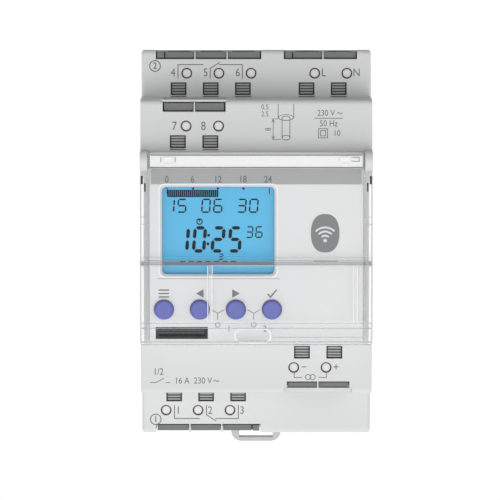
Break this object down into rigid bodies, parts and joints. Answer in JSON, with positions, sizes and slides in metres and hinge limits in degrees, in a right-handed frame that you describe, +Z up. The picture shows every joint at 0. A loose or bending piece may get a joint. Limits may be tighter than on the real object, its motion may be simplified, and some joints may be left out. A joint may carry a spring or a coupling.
{
  "type": "din rail timer",
  "caption": "Electronic time switch for a DIN rail, with a stepped case, spring terminals, a display, push buttons and a hinged clear cover.",
  "frame": {"origin": "middle of the rail seat: the plane on which the rail's flanges lie, halfway across and up the case", "axes": "+X to the right seen from the front, +Y into the wall, +Z up"},
  "size_m": [0.0536, 0.0603, 0.0968],
  "materials": {
    "case_grey": "fine texture",
    "panel_grey": "smooth",
    "clear_cover": "clear, polished",
    "clear_lens": "clear",
    "latch_white": "smooth",
    "spring_steel": "bright",
    "lcd_blue": "smooth",
    "white_plastic": "smooth",
    "black_rubber": "matt",
    "grey_rubber": "matt",
    "board_green": "solder mask",
    "black_plastic": "matt",
    "tinned_steel": "bright",
    "relay_black": "satin",
    "capacitor_yellow": "satin",
    "aluminium_can": "satin",
    "varistor_blue": "dipped",
    "fuse_grey": "matt",
    "battery_wrap": "shrink sleeve",
    "insert_dark": "satin",
    "opener_dark": "satin",
    "tinned_brass": "tinned",
    "button_blue": "satin"
  },
  "bodies": {
    "case": {"backlight": "white_plastic", "base_housing": "case_grey", "battery": "battery_wrap", "battery_tabs": "tinned_steel", "buffer_capacitor": "aluminium_can", "card_socket": "black_plastic", "clamp_springs_bottom": "spring_steel", "clamp_springs_lower_inner": "spring_steel", "clamp_springs_top_left": "spring_steel", "clamp_springs_top_right": "spring_steel", "clamp_springs_upper_inner": "spring_steel", "contacts_bottom": "tinned_brass", "contacts_lower_inner": "tinned_brass", "contacts_top_left": "tinned_brass", "contacts_top_right": "tinned_brass", "contacts_upper_inner": "tinned_brass", "display_board": "board_green", "front_housing": "case_grey", "front_panel": "panel_grey", "fuse_resistor": "fuse_grey", "insert_bottom": "insert_dark", "insert_lower_inner": "insert_dark", "insert_top_left": "insert_dark", "insert_top_right": "insert_dark", "insert_upper_inner": "insert_dark", "keypad_mat": "grey_rubber", "lcd_glass": "lcd_blue", "lcd_lens": "clear_lens", "link_board": "board_green", "main_board": "board_green", "mains_capacitor": "capacitor_yellow", "microcontroller": "black_plastic", "radio_module": "tinned_steel", "rail_latch_spring": "spring_steel", "relay_1": "relay_black", "relay_2": "relay_black", "varistor": "varistor_blue", "zebra_strip": "black_rubber"},
    "cover": {"front_cover": "clear_cover"},
    "latch": {"rail_latch": "latch_white"},
    "button_1": {"button_1": "button_blue"},
    "button_2": {"button_2": "button_blue"},
    "button_3": {"button_3": "button_blue"},
    "button_4": {"button_4": "button_blue"},
    "opener_bottom_1": {"opener_bottom_1": "opener_dark"},
    "opener_bottom_2": {"opener_bottom_2": "opener_dark"},
    "opener_bottom_3": {"opener_bottom_3": "opener_dark"},
    "opener_lower_inner_1": {"opener_lower_inner_1": "opener_dark"},
    "opener_lower_inner_2": {"opener_lower_inner_2": "opener_dark"},
    "opener_top_left_1": {"opener_top_left_1": "opener_dark"},
    "opener_top_left_2": {"opener_top_left_2": "opener_dark"},
    "opener_top_left_3": {"opener_top_left_3": "opener_dark"},
    "opener_top_right_1": {"opener_top_right_1": "opener_dark"},
    "opener_top_right_2": {"opener_top_right_2": "opener_dark"},
    "opener_upper_inner_1": {"opener_upper_inner_1": "opener_dark"},
    "opener_upper_inner_2": {"opener_upper_inner_2": "opener_dark"}
  },
  "joints": [
    {"name": "cover_hinge", "type": "hinge", "parent": "case", "child": "cover", "pos_m": [0, -0.051, 0.0204], "axis": [-1, 0, 0], "range_deg": [0, 105]},
    {"name": "latch_slide", "type": "slide", "parent": "case", "child": "latch", "axis": [0, 0, -1], "range_m": [0, 0.0035], "stiffness_N_per_m": 400, "springref_m": -0.003, "deforming": ["rail_latch_spring"]},
    {"name": "button_1_press", "type": "slide", "parent": "case", "child": "button_1", "axis": [0, 1, 0], "range_m": [0, 0.0008], "stiffness_N_per_m": 1500, "springref_m": -0.0003, "deforming": ["keypad_mat"]},
    {"name": "button_2_press", "type": "slide", "parent": "case", "child": "button_2", "axis": [0, 1, 0], "range_m": [0, 0.0008], "stiffness_N_per_m": 1500, "springref_m": -0.0003, "deforming": ["keypad_mat"]},
    {"name": "button_3_press", "type": "slide", "parent": "case", "child": "button_3", "axis": [0, 1, 0], "range_m": [0, 0.0008], "stiffness_N_per_m": 1500, "springref_m": -0.0003, "deforming": ["keypad_mat"]},
    {"name": "button_4_press", "type": "slide", "parent": "case", "child": "button_4", "axis": [0, 1, 0], "range_m": [0, 0.0008], "stiffness_N_per_m": 1500, "springref_m": -0.0003, "deforming": ["keypad_mat"]},
    {"name": "opener_bottom_1_push", "type": "slide", "parent": "case", "child": "opener_bottom_1", "axis": [0, 1, 0], "range_m": [0, 0.0015], "stiffness_N_per_m": 3000, "springref_m": -0.0005, "deforming": ["clamp_springs_bottom"]},
    {"name": "opener_bottom_2_push", "type": "slide", "parent": "case", "child": "opener_bottom_2", "axis": [0, 1, 0], "range_m": [0, 0.0015], "stiffness_N_per_m": 3000, "springref_m": -0.0005, "deforming": ["clamp_springs_bottom"]},
    {"name": "opener_bottom_3_push", "type": "slide", "parent": "case", "child": "opener_bottom_3", "axis": [0, 1, 0], "range_m": [0, 0.0015], "stiffness_N_per_m": 3000, "springref_m": -0.0005, "deforming": ["clamp_springs_bottom"]},
    {"name": "opener_lower_inner_1_push", "type": "slide", "parent": "case", "child": "opener_lower_inner_1", "axis": [0, 1, 0], "range_m": [0, 0.0015], "stiffness_N_per_m": 3000, "springref_m": -0.0005, "deforming": ["clamp_springs_lower_inner"]},
    {"name": "opener_lower_inner_2_push", "type": "slide", "parent": "case", "child": "opener_lower_inner_2", "axis": [0, 1, 0], "range_m": [0, 0.0015], "stiffness_N_per_m": 3000, "springref_m": -0.0005, "deforming": ["clamp_springs_lower_inner"]},
    {"name": "opener_top_left_1_push", "type": "slide", "parent": "case", "child": "opener_top_left_1", "axis": [0, 1, 0], "range_m": [0, 0.0015], "stiffness_N_per_m": 3000, "springref_m": -0.0005, "deforming": ["clamp_springs_top_left"]},
    {"name": "opener_top_left_2_push", "type": "slide", "parent": "case", "child": "opener_top_left_2", "axis": [0, 1, 0], "range_m": [0, 0.0015], "stiffness_N_per_m": 3000, "springref_m": -0.0005, "deforming": ["clamp_springs_top_left"]},
    {"name": "opener_top_left_3_push", "type": "slide", "parent": "case", "child": "opener_top_left_3", "axis": [0, 1, 0], "range_m": [0, 0.0015], "stiffness_N_per_m": 3000, "springref_m": -0.0005, "deforming": ["clamp_springs_top_left"]},
    {"name": "opener_top_right_1_push", "type": "slide", "parent": "case", "child": "opener_top_right_1", "axis": [0, 1, 0], "range_m": [0, 0.0015], "stiffness_N_per_m": 3000, "springref_m": -0.0005, "deforming": ["clamp_springs_top_right"]},
    {"name": "opener_top_right_2_push", "type": "slide", "parent": "case", "child": "opener_top_right_2", "axis": [0, 1, 0], "range_m": [0, 0.0015], "stiffness_N_per_m": 3000, "springref_m": -0.0005, "deforming": ["clamp_springs_top_right"]},
    {"name": "opener_upper_inner_1_push", "type": "slide", "parent": "case", "child": "opener_upper_inner_1", "axis": [0, 1, 0], "range_m": [0, 0.0015], "stiffness_N_per_m": 3000, "springref_m": -0.0005, "deforming": ["clamp_springs_upper_inner"]},
    {"name": "opener_upper_inner_2_push", "type": "slide", "parent": "case", "child": "opener_upper_inner_2", "axis": [0, 1, 0], "range_m": [0, 0.0015], "stiffness_N_per_m": 3000, "springref_m": -0.0005, "deforming": ["clamp_springs_upper_inner"]}
  ]
}
